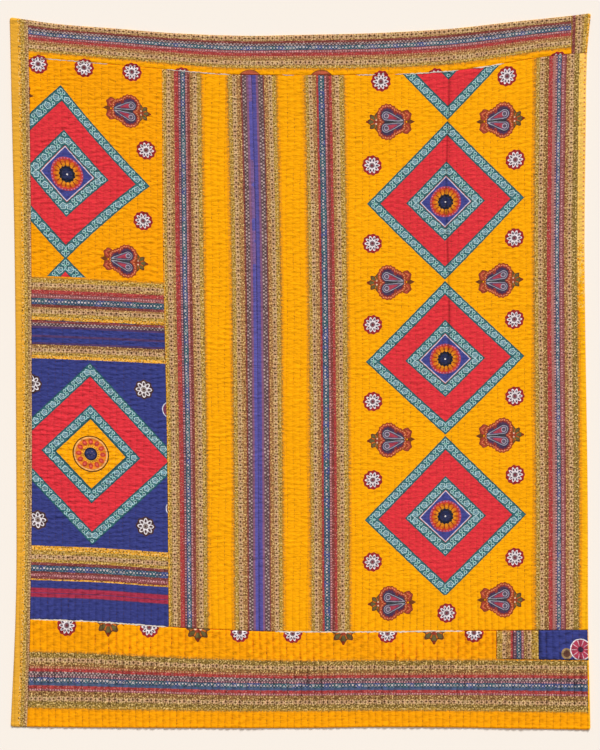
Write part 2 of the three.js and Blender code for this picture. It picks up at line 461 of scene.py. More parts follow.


# Pale specks added to the colour, for fibres that stand up and for painted sheen: on most cloths, and on the
# blue ones
FIBRES_AND_SHEEN = ((0.14, 0.11, 0.012, 1), (0.06, 0.06, 0.09, 1))
THREAD_PITCH = 1.3  # from one thread of the weave to the next


class Print:
    """The dye on one cloth: places in millimetres, and a colour that each motif is painted over."""

    WOBBLE = 1.5  # how far the hand printing strays
    WOBBLE_SIZE = 14.0

    def __init__(self, name, ground):
        self.material, self.tree, self.shader = new_material(name)
        place = self.tree.nodes.new("ShaderNodeUVMap")
        place.uv_map = "print"
        self.place = place.outputs["UV"]
        stray = self.parted(self.noise_node(self.WOBBLE_SIZE, 1).outputs["Color"])
        self.x, self.y = [
            at + (off - 0.5) * self.WOBBLE for at, off in zip(self.parted(self.place), stray)
        ]
        self.colour = linear(ground)
        self.dye = self

    def parted(self, socket):
        """The first two numbers of a place or of a colour."""
        node = self.tree.nodes.new("ShaderNodeSeparateXYZ")
        feed(node, {0: socket})
        return [Field(node.outputs[i]) for i in (0, 1)]

    def noise_node(self, size, detail, stretch=(1, 1)):
        place = self.place
        if stretch != (1, 1):
            mapping = self.tree.nodes.new("ShaderNodeMapping")
            feed(mapping, {"Vector": place, "Scale": (1 / stretch[0], 1 / stretch[1], 1)})
            place = mapping.outputs[0]
        node = self.tree.nodes.new("ShaderNodeTexNoise")
        feed(node, {"Vector": place, "Scale": 1 / size, "Detail": detail})
        return node

    def noise(self, size, detail=2, stretch=(1, 1)):
        """A random field round 0, mostly between -0.5 and 0.5."""
        return Field(self.noise_node(size, detail, stretch).outputs[0]) - 0.5

    def chances(self, along, pitch):
        """Two random numbers from 0 to 1 for each motif of a row."""
        place = (along * (1 / pitch)).math("ROUND")
        found = []
        for start in (0.0, 0.5):
            node = self.tree.nodes.new("ShaderNodeTexWhiteNoise")
            node.noise_dimensions = "1D"
            feed(node, {"W": place + start})
            found.append(Field(node.outputs["Value"]))
        return found

    def mix(self, blend, mask, colour):
        """Blends a colour with what is painted so far, as far as the mask says."""
        node = self.tree.nodes.new("ShaderNodeMix")
        node.data_type = "RGBA"
        node.blend_type = blend
        feed(node, {0: mask, 6: self.colour, 7: colour})
        self.colour = node.outputs[2]

    def paint(self, mask, colour):
        """Covers what the mask marks with one colour, or with a ramp's colours."""
        self.mix("MIX", mask, linear(colour) if isinstance(colour, tuple) else colour)

    def ramp(self, field, stops):
        """Colours side by side along a field from 0 to 1: where each starts, its colour, its strength."""
        node = self.tree.nodes.new("ShaderNodeValToRGB")
        node.color_ramp.interpolation = "CONSTANT"
        elements = node.color_ramp.elements
        while len(elements) < len(stops):
            elements.new(0.5)
        for element, (start, _, _) in zip(elements, stops):
            element.position = start
        for element, (_, colour, strength) in zip(elements, stops):
            element.color = (*linear(colour)[:3], strength)
        feed(node, {0: field})
        return node.outputs["Color"], Field(node.outputs["Alpha"])

    def fold_shade_and_dirt(self, x, y):
        """Painted shade in the valley of a fold line, and the dirt it gathers."""
        off = (x - SHADED_FOLD.at - crease_stray(y)).fold()
        ends = (y - SHADED_FOLD.start).least(y * -1.0 + SHADED_FOLD.end) * (1 / CREASE_FADE)
        share = (off * (-1 / SHADED_FOLD.spread) + 1.0).most(0.0) * ends.held(0.0, 1.0)
        return share * (self.noise(30.0, 2) + 1.0) * FOLD_SHADE_AND_DIRT

    def dress(self, piece, slot_name, pull):
        """Adds the crinkles, the uneven fading, painted shade in the row grooves and along a fold, pale
        fibres with painted sheen, the slubs and the weave that all the cloths share.
        """
        frame_place = self.tree.nodes.new("ShaderNodeTexCoord").outputs["Object"]
        x, y = [at * (1 / MM) for at in self.parted(frame_place)]
        swell = sine(((x - wander(x, y)) * (1 / ROW_PITCH)).wrap(1.0) * math.pi).fold()
        fade = self.noise(110.0, 3) * 0.14 + self.noise(5.0, 2) * 0.2
        slub = self.noise(5.0, 2, (14, 0.5)) * 0.16 + self.noise(5.0, 2, (0.5, 14)) * 0.12
        low = ((y - LOWER_START) * (-1 / LOWER_FADE)).held(0.0, 1.0)
        # Painted shade: darker in the grooves between the rows of stitches, deeper in the lower part, and
        # along one fold line
        tone = swell.least(0.5) * (low * 0.3 + 0.16) - low * 0.14 + 0.92 - self.fold_shade_and_dirt(x, y)
        self.mix("MULTIPLY", 1.0, fade + slub + tone)
        # Pale fibres and painted sheen: pale specks added to the colour
        self.mix("ADD", self.noise(4.2, 2).most(0.0), FIBRES_AND_SHEEN[slot_name == "blue_print"])
        weave = sine(self.x * (2 * math.pi / THREAD_PITCH)) * sine(self.y * (2 * math.pi / THREAD_PITCH))
        crinkle = self.noise(4.4, 2) + self.noise(3.4, 2, (3, 1)) * 0.8
        thin = self.noise(8.0, 1, (2.4, 1)).fold() * (low * -0.6 + 1.0)
        height = crinkle * CRINKLE + thin * (THIN_CREASE * pull) + weave * 0.03 + slub * 0.4
        bump = self.tree.nodes.new("ShaderNodeBump")
        feed(bump, {"Strength": 1.0, "Distance": MM, "Height": height})
        feed(self.shader, {"Base Color": self.colour, "Normal": bump.outputs[0], "Roughness": 0.88})
        feed(self.shader, {"Specular IOR Level": 0.06, "Sheen Weight": 0.03, "Sheen Roughness": 0.5})
        piece.data.materials.append(self.material)


class Masked:
    """Paints a cloth only where a mask allows it."""

    def __init__(self, cloth, mask):
        self.cloth = cloth
        self.dye = cloth.dye
        self.mask = mask

    def paint(self, mask, colour):
        self.cloth.paint(mask * self.mask, colour)


# Motifs of the printed borders: each row runs along the middle of its stripe
FLOWER_PITCH = 10.2
BEAD_PITCH = 5.6
CURL_PITCH = 7.2
SPECK_PITCH = 7.6


def flower_row(cloth, off, along, half):
    """Cream flowers with dark hearts, and pink buds between them."""
    luck, other = cloth.dye.chances(along, FLOWER_PITCH)
    off = off + (other - 0.5) * 2.0
    reach, turn = polar(along.wrap(FLOWER_PITCH) + (luck - 0.5) * 2.4, off)
    petals = (reach - luck * 0.6).near(3.4, 1.4) * turn.wave(4).under(0.3)
    cloth.paint(petals, CREAM)
    cloth.paint(petals * other.over(0.5), (204, 158, 122))
    nested(cloth, reach - other * 0.8, (1.4, (88, 60, 42)))
    bud = length((along + FLOWER_PITCH / 2).wrap(FLOWER_PITCH), off)
    nested(cloth, bud + other, (2.2, (206, 162, 126)))


def bead_row(cloth, off, along, half):
    """Pale beads."""
    nested(cloth, length(along.wrap(BEAD_PITCH), off), (1.4, (202, 152, 112)))


def rose_row(cloth, off, along, half):
    """Pink beads of uneven size."""
    luck, _ = cloth.dye.chances(along, BEAD_PITCH)
    nested(cloth, length(along.wrap(BEAD_PITCH), off) + luck, (1.9, (206, 150, 150)))


def curl_row(cloth, off, along, half):
    """Pale dots and curls on a ground that goes from slate to teal and blue."""
    hue = cloth.dye.noise(24.0, 1)
    cloth.paint(hue.over(0.07), (54, 90, 100))
    cloth.paint(hue.under(-0.09), (64, 76, 124))
    luck, other = cloth.dye.chances(along, CURL_PITCH)
    dot = length(along.wrap(CURL_PITCH), off + (other - 0.5) * 2.0) + luck
    nested(cloth, dot, (2.5, (200, 186, 184)))
    nested(cloth, dot + other, (1.5, (74, 80, 98)))
    between = length((along + CURL_PITCH / 2).wrap(CURL_PITCH), off.fold() - half * 0.6)
    nested(cloth, between + luck * 0.6, (1.1, (166, 164, 176)))


def speckle_row(cloth, off, along, half):
    """Pale and dark specks in a zigzag."""
    along = along + off.over(0.0) * (SPECK_PITCH / 2)
    luck, other = cloth.dye.chances(along, SPECK_PITCH)
    side = off.fold() - (other * 0.5 + 0.2) * half
    nested(cloth, length(along.wrap(SPECK_PITCH), side) + luck * 1.5, (2.4, (180, 156, 152)))
    between = length((along + SPECK_PITCH / 2).wrap(SPECK_PITCH), side)
    nested(cloth, between + other * 1.5, (2.1, (72, 60, 66)))


def fringe_row(cloth, off, along, half):
    """Brown fuzz at the near edge of a border, which gets denser inwards."""
    fuzz = cloth.dye.noise(3.8, 1) + off * (0.24 / half)
    cloth.paint(fuzz.over(-0.02), (212, 140, 36))
    cloth.paint(fuzz.over(0.14), (164, 116, 48))


def fade_row(cloth, off, along, half):
    """The same fuzz at the far edge of a border."""
    fringe_row(cloth, off * -1.0, along, half)


# Stripes of the borders: the ground of each kind, its specks, and its row of motifs
LACE = 1.0
LINE = 0.2
PLAIN = 0.0
STRIPES = {
    "gold": ((236, 168, 48), LACE, None),
    "honey": ((228, 166, 52), PLAIN, None),
    "fringe": ((240, 156, 16), PLAIN, fringe_row),
    "fade": ((240, 156, 16), PLAIN, fade_row),
    "olive": ((184, 144, 58), LACE, None),
    "moss": ((142, 114, 52), LACE, None),
    "flowers": ((162, 122, 74), LACE, flower_row),
    "blossoms": ((142, 110, 62), LACE, flower_row),
    "tan": ((166, 116, 72), LACE, None),
    "brown": ((142, 98, 58), LACE, None),
    "beads": ((156, 88, 56), LINE, bead_row),
    "brick": ((168, 60, 60), LINE, None),
    "wine": ((126, 60, 56), LINE, None),
    "pink": ((174, 114, 106), LINE, None),
    "plum": ((98, 66, 82), PLAIN, rose_row),
    "scroll": ((56, 78, 100), PLAIN, curl_row),
    "slate": ((74, 88, 120), PLAIN, None),
    "speckle": ((106, 80, 84), PLAIN, speckle_row),
    "rose": ((142, 78, 82), LINE, rose_row),
    "blush": ((132, 88, 120), PLAIN, None),
    "violet": ((90, 84, 158), PLAIN, None),
    "ultramarine": ((86, 80, 150), PLAIN, None),
    "blue": (BLUE, PLAIN, None),
    "line": ((164, 48, 72), PLAIN, None),
    "faded": ((82, 58, 100), PLAIN, None),
    "amber": ((247, 176, 18), PLAIN, None),
}


def borders(cloth, across, along, *bands):
    """Paints printed borders: each band is where it starts, and its stripes as (kind, width)."""
    middles = {}
    halves = {}
    specks = cloth.noise(3.4, 1)
    pale = cloth.noise(3.0, 1)
    for start, stripes in bands:
        total = sum(width for _, width in stripes)
        at = 0.0
        stops = []
        for kind, width in stripes:
            ground, texture, _ = STRIPES[kind]
            stops.append((at / total, ground, texture))
            middles.setdefault(kind, []).append(start + at + width / 2)
            halves[kind] = min(halves.get(kind, width), width / 2)
            at += width
        inside = across.near(start + total / 2, total / 2)
        colour, strength = cloth.ramp((across - start) * (1 / total), stops)
        cloth.paint(inside, colour)
        lace = Masked(cloth, inside * strength.over(0.5))
        lace.paint(specks.over(0.09), (214, 180, 118))
        lace.paint(specks.under(-0.1), (106, 76, 42))
        cloth.mix("MULTIPLY", lace.mask, specks * 0.6 + 1.0)
        lines = Masked(cloth, inside * strength.near(LINE, 0.1))
        lines.paint(pale.over(0.14), (196, 140, 128))
        lines.paint(pale.under(-0.16), (84, 50, 56))
    for kind, places in middles.items():
        motif = STRIPES[kind][2]
        if motif:
            off = from_nearest(across, sorted(places))
            motif(Masked(cloth, off.fold().under(halves[kind])), off, along, halves[kind])


# Motifs of the fields
def roundel(cloth, x, y):
    """A rosette of ten white petals on a scalloped wine-red disc."""
    reach, turn = polar(x, y)
    nested(cloth, reach - turn.wave(11) * 0.9, (20.8, MAROON))
    nested(cloth, ring_of_ovals(reach, turn, 10, 11.0, 3.1, 6.0), (1, WHITE), (0.5, (84, 60, 84)))
    nested(cloth, reach, (5.5, (122, 100, 108)), (2.6, (120, 46, 56)))


def loop_roundel(cloth, x, y):
    """A rosette of eight white loops on a dark brown disc."""
    reach, turn = polar(x, y)
    nested(cloth, reach - turn.wave(8) * 1.2, (20.6, (76, 52, 52)))
    nested(cloth, ring_of_ovals(reach, turn, 8, 11.6, 4.4, 6.4), (1, WHITE), (0.56, (84, 62, 66)))
    cloth.paint(reach.near(3.6, 1.1), (150, 136, 130))


def sprig(cloth, out, side):
    """A fan of olive leaves with rust veins, which spreads round the heart that it grows on."""
    stem = out + 2.0
    reach = oval(stem, side, 22.0, 19.5)
    leaves = side.math("ARCTAN2", stem).wave(8)
    fan = reach - leaves * 0.13
    outside = Masked(cloth, out.over(-3.0))
    outside.paint(fan.under(0.9), (104, 62, 38))
    outside.paint(fan.under(0.72) * leaves.over(-0.2), (104, 94, 56))
    outside.paint(reach.near(0.5, 0.18) * leaves.under(-0.75), (196, 104, 36))
    nested(cloth, reach, (0.36, (150, 60, 42)))
    nested(cloth, oval(out, side - 4.2, 1.8, 2.0), (1, (224, 186, 156)))
    nested(cloth, oval(out - 19.0, side, 3.6, 2.4), (1, (128, 48, 26)))


def paisley_heart(cloth, along, across):
    """A heart of two paisleys with a scalloped border, two lobes at its tip and a sprig at its head."""
    side = across.fold()
    sprig(cloth, along * -1.0 - 31.0, side)
    turn = across.math("ARCTAN2", along)
    scallop = turn.wave(26) * 0.8
    cloth.paint((side - (along - 53.0) * -0.5).under(0) * along.over(36.0), (112, 60, 30))
    lobe = length(along - 33.0, side - 13.5) + scallop
    nested(cloth, lobe, (12.2, (138, 64, 36)), (9.6, (170, 64, 52)))
    cloth.paint(lobe.near(5.6, 1.0), (208, 116, 72))
    nested(cloth, lobe, (2.4, (152, 48, 50)))
    taper = (side - (along - 70.0) * -0.5) * 0.9
    taper = taper.most(along * -1.0 + 4.0).most(along - 34.0)
    edge = (length(along + 6.5, side - 15.0) - 23.2).least(taper) + scallop
    nested(cloth, edge, (0, (148, 66, 30)), (-2.2, (186, 78, 50)))
    cloth.paint(edge.near(-4.4, 1.0) * turn.wave(40).over(0.1), (220, 152, 108))
    nested(cloth, edge, (-6.4, (132, 50, 52)), (-9.2, (76, 52, 82)))
    from_head = along + 9.0
    from_side = side - 13.0
    share = from_head.times(0.0256, from_side * -0.0072).held(0.0, 1.0)
    tear = length(from_head - share * 34.0, from_side + share * 10.0) + share * 7.0
    nested(cloth, tear, (11.4, (58, 56, 76)), (9.4, (162, 160, 172)), (8.0, (92, 72, 100)))
    cloth.paint(tear.under(6.0) * along.over(-5.0), (170, 62, 80))
    head = length(from_head, from_side)
    cloth.paint(head.near(4.6, 0.8), (172, 166, 178))
    nested(cloth, head, (2.4, (92, 88, 100)))
    cloth.paint(side.under(1.4) * along.near(6.0, 20.0), (56, 60, 64))


def medallion(cloth, x, y):
    """An orange sunflower with a navy heart and a dotted red rim."""
    reach, turn = polar(x, y)
    petals = turn.wave(15)
    nested(cloth, reach, (33.5, (178, 58, 76)))
    cloth.paint(reach.near(31.6, 1.0) * turn.wave(30).over(0.3), (196, 128, 150))
    nested(cloth, reach, (29.8, (196, 62, 44)))
    nested(cloth, reach + petals * 2.2, (26.4, (212, 108, 30)))
    nested(cloth, reach + petals * 1.6, (21.0, (224, 140, 28)))
    cloth.paint(reach.near(21.5, 4.0) * petals.over(0.72), (138, 58, 30))
    nested(cloth, reach + turn.wave(13) * 0.9, (16.6, (30, 32, 50)))
    nested(cloth, reach, (11.4, (40, 46, 82)), (1.8, WHITE))


def sun_medallion(cloth, x, y):
    """The medallion of the blue cloth: red blobs round an orange sun with a navy heart."""
    reach, turn = polar(x, y)
    nested(cloth, reach, (40.0, (62, 42, 32)), (37.6, (244, 160, 24)), (36.2, (230, 184, 140)))
    nested(cloth, reach, (34.6, (230, 132, 32)))
    nested(cloth, ring_of_ovals(reach, turn, 12, 26.5, 5.0, 6.6), (1, (196, 66, 48)), (0.4, (216, 98, 84)))
    rays = turn.wave(24)
    nested(cloth, reach + rays * 1.6, (19.8, (238, 164, 38)))
    cloth.paint(reach.near(17.0, 0.8) * rays.over(0.0), (110, 60, 40))
    nested(cloth, reach, (14.4, (36, 34, 58)), (11.0, (48, 54, 98)))
    cloth.paint(reach.under(9.0) * cloth.noise(3.0, 1).over(0.1), (112, 96, 120))


VINE_PITCH = 27.0
HALF_BAND = 10.6


def vine_band(cloth, off, along):
    """A flowering vine on a teal band: how far off its middle a place is, and where along it."""
    side = off.fold()
    inside = Masked(cloth, side.under(HALF_BAND))
    inside.paint(side.over(-1), TEAL)
    inside.paint(side.over(HALF_BAND - 1.8), DEEP_TEAL)
    step = along.wrap(VINE_PITCH)
    luck, _ = cloth.dye.chances(along, VINE_PITCH)
    stem = off - sine(along * (2 * math.pi / VINE_PITCH)) * 6.5
    nested(inside, stem.fold(), (0.8, AQUA))
    inner = step.fold() - VINE_PITCH / 2
    curl = length(inner, side - 4.2) - luck * 0.5
    inside.paint(curl.near(2.8, 0.7), (178, 206, 208))
    nested(inside, length(inner, off), (1.4, LEAF_GREEN))
    reach, turn = polar(step, off)
    reach = reach + turn.wave(5) * 0.7
    inside.paint(reach.near(5.8, 0.85), (184, 208, 212))
    inside.paint((reach - luck * 0.8).near(2.2, 0.7), (150, 186, 200))
    nested(inside, reach, (1.0, (70, 70, 110)))


def diamond(cloth, x, y, half, shares, heart):
    """Nested diamonds: a vine band, red, a second vine band, a line and a field for a medallion."""
    side_x = x.fold()
    side_y = y.fold()
    share = (side_x + side_y) * (1 / half)
    rise = half / math.sqrt(2)
    nested(cloth, share, (1, RED), (shares["heart"] + 0.01, shares["line"]), (shares["heart"] - 0.004, heart))
    outer_middle = 1 - HALF_BAND / rise
    inner_middle = shares["inner"] - HALF_BAND / rise
    chosen = share.over((outer_middle + inner_middle) / 2)
    off = (share - inner_middle - chosen * (outer_middle - inner_middle)) * rise
    vine_band(cloth, off, (side_x - side_y) * (1 / math.sqrt(2)) + VINE_PITCH / 2)


# The cloth of diamonds: a column of diamonds, with roundels and paisley hearts at its sides
DIAMOND_PITCH = 345.4
DIAMOND_HALF = 171.5
DIAMOND_SHARES = {"inner": 0.503, "heart": 0.312, "line": PALE}
DIAMOND_HEART = (64, 68, 138)
DIAMOND_MIDDLE = (318.0, 27.5)
TILT_LINE = 319.0  # the rows tilt about this line
LOWEST_FROM = -169.0  # the lowest diamond reaches up to here
ROUNDEL_PLACE = (156.0, 84.0)
HEART_PLACE = 119.0
LONE_ROUNDEL = (317.0, -531.0)
FIELD = (112.0, 510.0)  # from the stripes to the border along the hem
WORN_EDGE = 611.0  # the hem is worn pale from here on
EDGE_DOTS = 623.4  # and dotted along this line
DOT_PITCH = 9.4

# The cloth at the upper left, which is of the same print, and the blue cloth
UPPER_LEFT_MIDDLE = (-512.6, 429.5)
UPPER_LEFT_ROUNDELS = (-60.0, 40.0, 144.0)
UPPER_LEFT_ROUNDELS_HEIGHT = 665.8
BLUE_MIDDLE = (-460.5, -181.0)
BLUE_HALF = 200.0
BLUE_SHARES = {"inner": 0.545, "heart": 0.385, "line": DEEP_TEAL}


def diamond_column(cloth, x, y):
    """One column of the cloth of diamonds: x and y run from a diamond's middle."""
    near = y.wrap(DIAMOND_PITCH)
    diamond(cloth, x, near, DIAMOND_HALF, DIAMOND_SHARES, DIAMOND_HEART)
    medallion(cloth, x, near)


def band(start, stripes):
    """A printed border: where it starts, and its stripes in order across it, as kinds and widths."""
    pairs = [stripe.split() for stripe in stripes.split(", ")]
    return start, [(kind, float(width)) for kind, width in pairs]


# The printed borders of each cloth
LEFT_STRIPE = band(
    -302.0,
    "gold 7, olive 5, flowers 14.2, tan 4.7, brick 9.6, plum 5.7, scroll 9.9, rose 4.7, wine 5.7, "
    "tan 5.7, flowers 11.2, olive 7.8, fade 7.5",
)
MIDDLE_STRIPE_LEFT = band(
    -156.0,
    "fringe 8.5, olive 7.5, flowers 11, tan 8.6, wine 3.7, speckle 9.5, blush 4.8, violet 8.8",
)
MIDDLE_STRIPE_RIGHT = band(
    -97.0,
    "ultramarine 11, blush 4.4, speckle 10.8, wine 2.5, tan 7.8, flowers 9.7, olive 7.8, fade 8",
)
RIGHT_STRIPE = band(
    12.5,
    "fringe 8.7, olive 6, flowers 9.1, tan 7.8, brick 4.4, scroll 13, rose 5.2, wine 4.7, brick 5.9, "
    "tan 7, flowers 9.4, olive 9.1, fade 7.5",
)
RIGHT_HEM_STRIPE = band(
    507.5,
    "fringe 9, olive 6.7, flowers 11.6, brown 8.3, brick 8.6, pink 6, plum 4.4, scroll 8, rose 9, "
    "wine 2.1, tan 5.8, flowers 11.7, moss 10.3, fade 7.9, amber 19.1",
)
BOTTOM_BAND = band(
    631.0,
    "fringe 6, moss 8.5, blossoms 11, brown 6.5, beads 5, brick 6, speckle 7.5, plum 4, scroll 10.5, "
    "slate 5, brick 6.5, rose 4.5, brown 9, blossoms 12.5, moss 7, olive 5, fade 4.5",
)
TOP_BAND = band(
    -743.0,
    "amber 4.5, flowers 12.5, wine 5, speckle 6, scroll 9, rose 6.5, brick 6, beads 4, tan 4.5, "
    "flowers 12.5, olive 5, fade 6",
)
UPPER_LEFT_BAND = band(
    -205.0,
    "fringe 5, olive 9, flowers 11, tan 5.5, brick 8, rose 10, scroll 13.5, wine 6, tan 3.5, "
    "flowers 11, olive 7, gold 7",
)
BLUE_TOP_BAND = band(
    -107.0,
    "wine 4, speckle 7, faded 4.5, blue 15, faded 5, blue 11, faded 4.5, brown 6.5, flowers 11, "
    "olive 7, gold 7",
)
BLUE_BOTTOM_BAND = band(
    387.0,
    "gold 10, olive 8.5, flowers 11.5, olive 6.5, wine 6.5, scroll 13.5, wine 4.5, rose 8, wine 3.5, "
    "gold 3, blue 15.5, faded 2, line 9.5, faded 1.5, line 8, faded 2",
)
PATCH_BAND = band(
    431.0,
    "olive 12, flowers 11, tan 8, brick 5.5, plum 7.5, scroll 10.5, rose 5.5, brown 6, flowers 11.5, "
    "olive 23",
)
BINDING_BAND = band(-628.0, "honey 16.5, gold 5.5, olive 7.5, flowers 18.5")
CORNER_BAND = band(597.5, "wine 7, flowers 17.5, olive 7, gold 14")

# Roundels, domes and sprigs that the seams cut: where along the borders, and at what height
TOP_ROUNDELS = (-573.0, -473.0, -369.0, -259.0, 177.5, 298.0, 567.0)
TOP_ROUNDELS_HEIGHT = 639.0
TOP_DOMES = (-111.0, 46.0)
TOP_DOMES_HEIGHT = 634.0
BOTTOM_ROUNDELS = (-517.0, -335.0, -135.0, -18.0, 191.0, 382.0)
BOTTOM_SPRIGS = (-425.0, -227.0, 94.0, 294.0)
BOTTOM_HEIGHT = -576.0

# Where the violet strip has faded, the medallion of the blue patch, and the backing at the right hem
FADED_CORNER = (-102.4, 240.0)
PATCH_MEDALLION = (616.0, -611.0)
TURNED_EDGE = 632.0


def banded(stripes):
    """The print of a cloth that is all border."""
    return lambda cloth: borders(cloth, cloth.x, cloth.y, stripes)


def stripe_print(cloth):
    borders(cloth, cloth.x, cloth.y, LEFT_STRIPE, MIDDLE_STRIPE_LEFT)
    faded = cloth.noise(40.0, 2).over(-0.04) * cloth.y.over(FADED_CORNER[1])
    cloth.paint(faded * cloth.x.over(FADED_CORNER[0]), (122, 92, 146))


def diamond_print(cloth):
    borders(cloth, cloth.x, cloth.y, MIDDLE_STRIPE_RIGHT, RIGHT_STRIPE)
    # The border along the hem slants a little, and its edge is worn, most of all towards the top
    borders(cloth, cloth.x - (cloth.y - 100.0) * 0.005, cloth.y, RIGHT_HEM_STRIPE)
    edge = Masked(cloth, cloth.x.over(WORN_EDGE))
    wear = ((cloth.y - 150.0) * 0.002).held(-0.8, 0.3)
    edge.paint((cloth.noise(16.0, 2) + cloth.noise(3.4, 1) + wear).over(0.1), (246, 198, 98))
    dots = length(cloth.y.wrap(DOT_PITCH), cloth.x - EDGE_DOTS)
    nested(edge, dots - wear * 2.0, (1.4, (204, 128, 88)))
    # The quilting has pulled the print out of square: its rows tilt, and its column leans
    field = Masked(cloth, cloth.x.near(sum(FIELD) / 2, (FIELD[1] - FIELD[0]) / 2))
    tilt = (cloth.y * 6.3e-5 + 0.0102).held(-0.011, 0.05)
    y = (cloth.x - TILT_LINE).times(tilt, cloth.y - DIAMOND_MIDDLE[1])
    x = cloth.x - DIAMOND_MIDDLE[0] - y * 0.009
    y = x.fold().times(0.024, y - (y - DIAMOND_PITCH).most(0.0) * 0.035)
    # The diamonds: the half one at the top leans, the middle one is short below, the lowest is larger
    rows = Masked(field, y.over(-1.5 * DIAMOND_PITCH))
    lowest = y.under(LOWEST_FROM)
    lean = (y - 300.0).most(0.0) * 0.02
    bend = y.least(0.0) * 0.03
    bend = bend + lowest * ((y + DIAMOND_PITCH) * -0.028 - bend)
    diamond_column(rows, (x - lean) * (y * 4e-5 + 0.983), y + bend)
    # The hearts: those in the last row are lower and further right, and the right ones lower at the top
    last_row = y.under(-1.3 * DIAMOND_PITCH)
    hearts = last_row.times(13.0, y + DIAMOND_PITCH / 2) + x.over(0.0) * (y * 0.035).held(-1.5, 5.5)
    beside = (x - last_row * 3.3).fold()
    paisley_heart(field, beside * -1.0 + HEART_PLACE, hearts.wrap(DIAMOND_PITCH))
    # The roundels: the top pair is closer together, and the lowest ones are further apart
    top_row = y.over(1.5 * DIAMOND_PITCH)
    across = top_row.times(20.0, (x + 3.5).fold() - ROUNDEL_PLACE[0])
    rise = lowest * 6.0 + ROUNDEL_PLACE[1]
    roundel(rows, across, (y + 3.0).wrap(DIAMOND_PITCH).fold() - rise)
    roundel(cloth, cloth.x - LONE_ROUNDEL[0], cloth.y - LONE_ROUNDEL[1])


def upper_left_print(cloth):
    x = cloth.x - UPPER_LEFT_MIDDLE[0]
    y = x.times(0.078, cloth.y - UPPER_LEFT_MIDDLE[1])
    # The diamond is pulled wider and taller than on the other cloth, and the next one starts sooner
    across = y.least(0.0).times(-0.028, y.most(0.0).times(0.06, x)) * 0.943
    up = y.least(0.0).times(0.025, y * (x * 0.0006 + 0.895))
    up = up - up.under(-168.7) * 8.0
    diamond_column(Masked(cloth, up.under(0.5 * DIAMOND_PITCH)), across, up)
    hearts = ((y + 7.0) * 1.037 + DIAMOND_PITCH / 2).wrap(DIAMOND_PITCH)
    paisley_heart(cloth, (x - y * 0.027).fold() * -1.0 + (HEART_PLACE + 9.0), hearts)
    roundel(cloth, y.times(-0.05, x - 170.0), y.fold() - 79.0)
    roundel(cloth, from_nearest(x, UPPER_LEFT_ROUNDELS), cloth.y - UPPER_LEFT_ROUNDELS_HEIGHT)
    borders(cloth, cloth.y * -1.0, cloth.x, UPPER_LEFT_BAND)


def blue_print(cloth):
    x = cloth.x - BLUE_MIDDLE[0]
    y = x.times(0.04, cloth.y - BLUE_MIDDLE[1])
    diamond(cloth, x + y.least(0.0) * 0.014, y, BLUE_HALF, BLUE_SHARES, MARIGOLD)
    sun_medallion(cloth, x, y)
    level = x.times(-0.03, y + 1.1)
    loop_roundel(cloth, (y * 0.022 + x + 1.6).fold() - y * 0.02 - 120.6, level.fold() - 149.5)
    ring = length(y * 0.0245 + x - 179.0, level.fold() - 108.0)
    nested(cloth, ring, (18.0, PALE), (16.0, (124, 62, 84)))
    borders(cloth, cloth.y * -1.0, cloth.x, BLUE_TOP_BAND, BLUE_BOTTOM_BAND)


def top_print(cloth):
    borders(cloth, cloth.y * -1.0, cloth.x, TOP_BAND)
    roundel(cloth, from_nearest(cloth.x, TOP_ROUNDELS), cloth.y - TOP_ROUNDELS_HEIGHT)
    dome = length(from_nearest(cloth.x, TOP_DOMES), cloth.y - TOP_DOMES_HEIGHT)
    nested(cloth, dome, (29.8, (146, 84, 32)), (27.6, (184, 88, 62)))


def bottom_print(cloth):
    y = cloth.y - BOTTOM_HEIGHT
    # The first roundel is a little lower than the others
    first = cloth.x.under(-470.0)
    roundel(cloth, from_nearest(cloth.x, BOTTOM_ROUNDELS), first.times(6.0, y))
    sprig(cloth, (y - 3.0) * -0.8, from_nearest(cloth.x, BOTTOM_SPRIGS).fold() * 0.72)
    borders(cloth, cloth.y * -1.0, cloth.x, BOTTOM_BAND)
    cloth.paint(cloth.x.over(TURNED_EDGE), STRIPES["amber"][0])


def blue_patch_print(cloth):
    x = cloth.x - PATCH_MEDALLION[0]
    y = cloth.y - PATCH_MEDALLION[1]
    nested(cloth, length(x + 31.0, y + 9.0), (12.0, (150, 122, 84)), (7.5, (96, 62, 50)))
    reach, turn = polar(x, y)
    nested(cloth, reach, (23.5, WHITE), (21.2, (168, 58, 80)))
    cloth.paint(reach.near(14.0, 6.0) * turn.wave(10).over(0.9), (222, 186, 196))
    nested(cloth, reach, (6.0, (60, 42, 56)))
    cloth.paint(cloth.x.over(TURNED_EDGE), STRIPES["amber"][0])


# The cloths: print, its ground, slot, sides that are hems, where the print was measured, grid, pull
CLOTHS = {
    "left_binding": (
        banded(BINDING_BAND), GOLD, "golden_print", ("left", "bottom", "top"), (-610, 60), 2.8, 0.6,
    ),
    "top_border": (top_print, MARIGOLD, "border_print", ("top",), (-110, 690), 2.8, 0.9),
    "corner_patch": (banded(CORNER_BAND), OLIVE, "border_print", ("top", "right"), (620, 740), 2.8, 0.6),
    "upper_left_panel": (upper_left_print, AMBER, "marigold_print", (), (-450, 434), 2.8, 1.2),
    "blue_panel": (blue_print, BLUE, "blue_print", (), (-460, -181), 2.6, 1.35),
    "stripe_panel": (stripe_print, MARIGOLD, "marigold_print", (), (-200, 69), 2.8, 1.0),
    "diamond_panel": (diamond_print, MARIGOLD, "marigold_print", ("right",), (319, 69), 3.1, 1.0),
    "bottom_border": (bottom_print, AMBER, "border_print", ("bottom", "right"), (10, -700), 2.3, 1.6),
    "band_patch": (banded(PATCH_BAND), MARIGOLD, "border_print", (), (475, -600), 2.3, 1.6),
    "blue_patch": (blue_patch_print, BLUE, "blue_print", ("right",), (580, -600), 2.3, 2.6),
}


